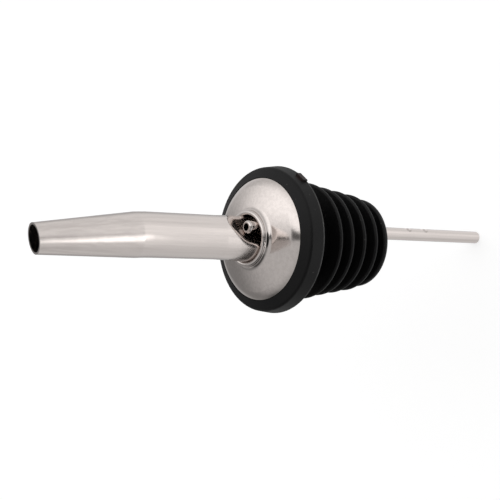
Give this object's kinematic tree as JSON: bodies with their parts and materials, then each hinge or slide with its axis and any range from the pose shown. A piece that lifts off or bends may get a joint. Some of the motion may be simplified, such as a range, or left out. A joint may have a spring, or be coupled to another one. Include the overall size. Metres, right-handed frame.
{
  "type": "liquor pour spout",
  "caption": "Free-flow liquor pourer: bent tapered steel spout on a pressed dome, finned rubber cork for a bottle neck, and a long breather tube with a check ball.",
  "frame": {"origin": "centre of the underside of the cork's flange, where the pourer rests on the bottle's lip", "axes": "+Z along the cork's axis, up out of the bottle towards the spout; -Y is the side of the recess and the breather tube; the spout bends towards +Y"},
  "size_m": [0.0302, 0.0304, 0.1157],
  "materials": {
    "spout_steel": "fine polished stainless with faint lengthwise streaks",
    "dome_steel": "polished stainless, slightly mottled",
    "sleeve_steel": "polished stainless",
    "breather_steel": "drawn stainless tube, satin",
    "ball_steel": "polished steel ball",
    "braze": "dull silver braze",
    "washer_steel": "plain stainless sheet",
    "cork_rubber": "satin black moulded rubber"
  },
  "bodies": {
    "pourer": {"spout": "spout_steel", "stem_sleeve": "sleeve_steel", "dome_cap": "dome_steel", "cork": "cork_rubber", "breather_tube": "breather_steel", "braze_seal": "braze", "end_washer": "washer_steel"},
    "ball": {"check_ball": "ball_steel"}
  },
  "joints": [
    {"name": "check_ball_slide", "type": "slide", "parent": "pourer", "child": "ball", "axis": [0, 0, 1], "range_m": [0, 0.0021]}
  ]
}
